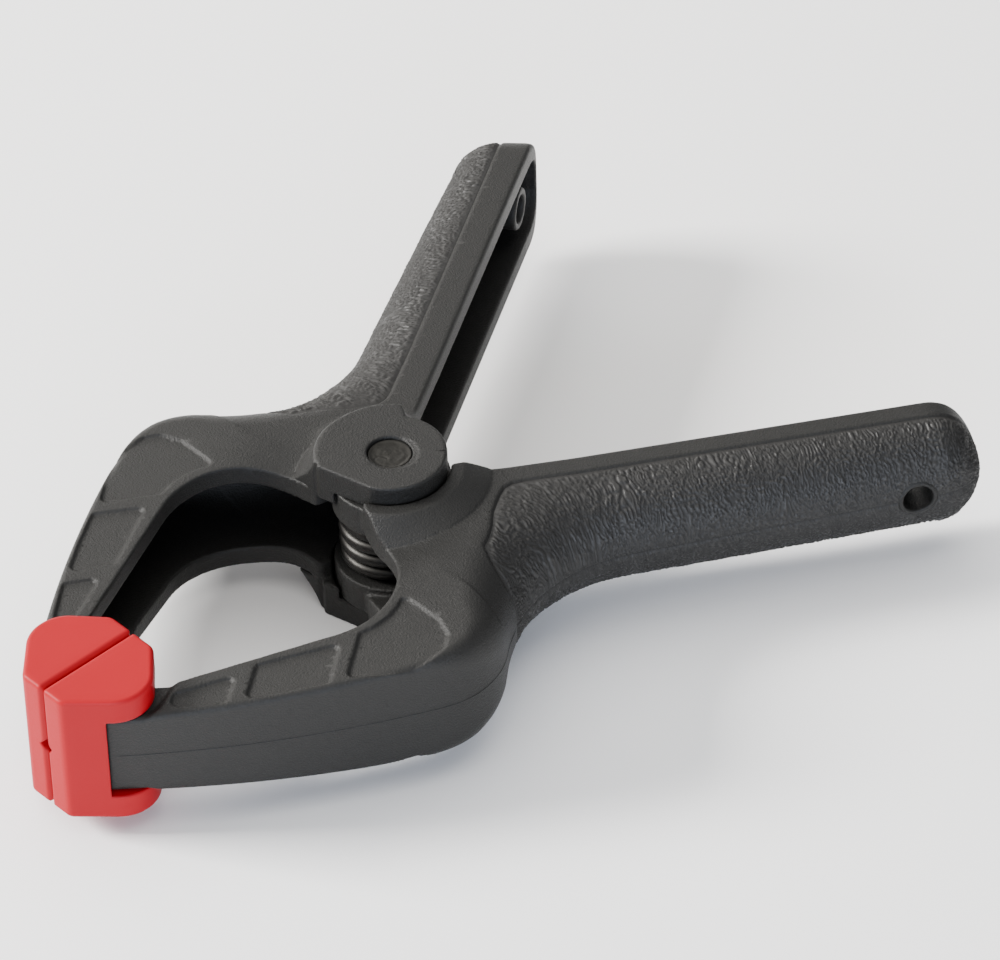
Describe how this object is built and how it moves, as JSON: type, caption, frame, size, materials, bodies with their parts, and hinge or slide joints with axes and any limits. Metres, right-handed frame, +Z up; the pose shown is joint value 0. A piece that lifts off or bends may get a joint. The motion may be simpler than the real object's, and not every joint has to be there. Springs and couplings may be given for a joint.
{
  "type": "spring clamp",
  "caption": "Hand-squeezed spring clamp: channel-section plastic levers cross on a steel pin, a torsion spring closes the jaws, and swivelling pads meet at the jaw tips.",
  "frame": {"origin": "on the surface that the clamp lies on, under the middle of its length and width", "axes": "+X from the jaws to the handles, +Y from the inner lever to the outer lever, +Z up along the pivot pin"},
  "size_m": [0.1682, 0.1286, 0.0345],
  "materials": {
    "black_plastic": "fine matt grain, with a leather-like grain on the grips",
    "red_plastic": "satin",
    "pin_steel": "dark phosphate, turned ends",
    "spring_steel": "drawn wire"
  },
  "bodies": {
    "outer_side": {"lever_outer": "black_plastic", "pivot_pin": "pin_steel", "torsion_spring": "spring_steel"},
    "inner_side": {"lever_inner": "black_plastic"},
    "outer_pad": {"jaw_pad_outer": "red_plastic"},
    "inner_pad": {"jaw_pad_inner": "red_plastic"}
  },
  "joints": [
    {"name": "lever_pivot", "type": "hinge", "parent": "outer_side", "child": "inner_side", "pos_m": [-0.00366, 0, 0.01725], "axis": [0, 0, 1], "range_deg": [0, 50], "stiffness_Nm_per_rad": 1.5, "springref_deg": -22.92, "deforming": ["torsion_spring"]},
    {"name": "outer_pad_swivel", "type": "hinge", "parent": "outer_side", "child": "outer_pad", "pos_m": [-0.07196, 0.0093, 0.01725], "axis": [0, 0, 1], "range_deg": [0, 25]},
    {"name": "inner_pad_swivel", "type": "hinge", "parent": "inner_side", "child": "inner_pad", "pos_m": [-0.07196, -0.0093, 0.01725], "axis": [0, 0, 1], "range_deg": [-25, 0]}
  ],
  "couplings": [
    {"joint": "outer_pad_swivel", "follows": "lever_pivot", "ratio": 0.5},
    {"joint": "inner_pad_swivel", "follows": "lever_pivot", "ratio": -0.5}
  ]
}
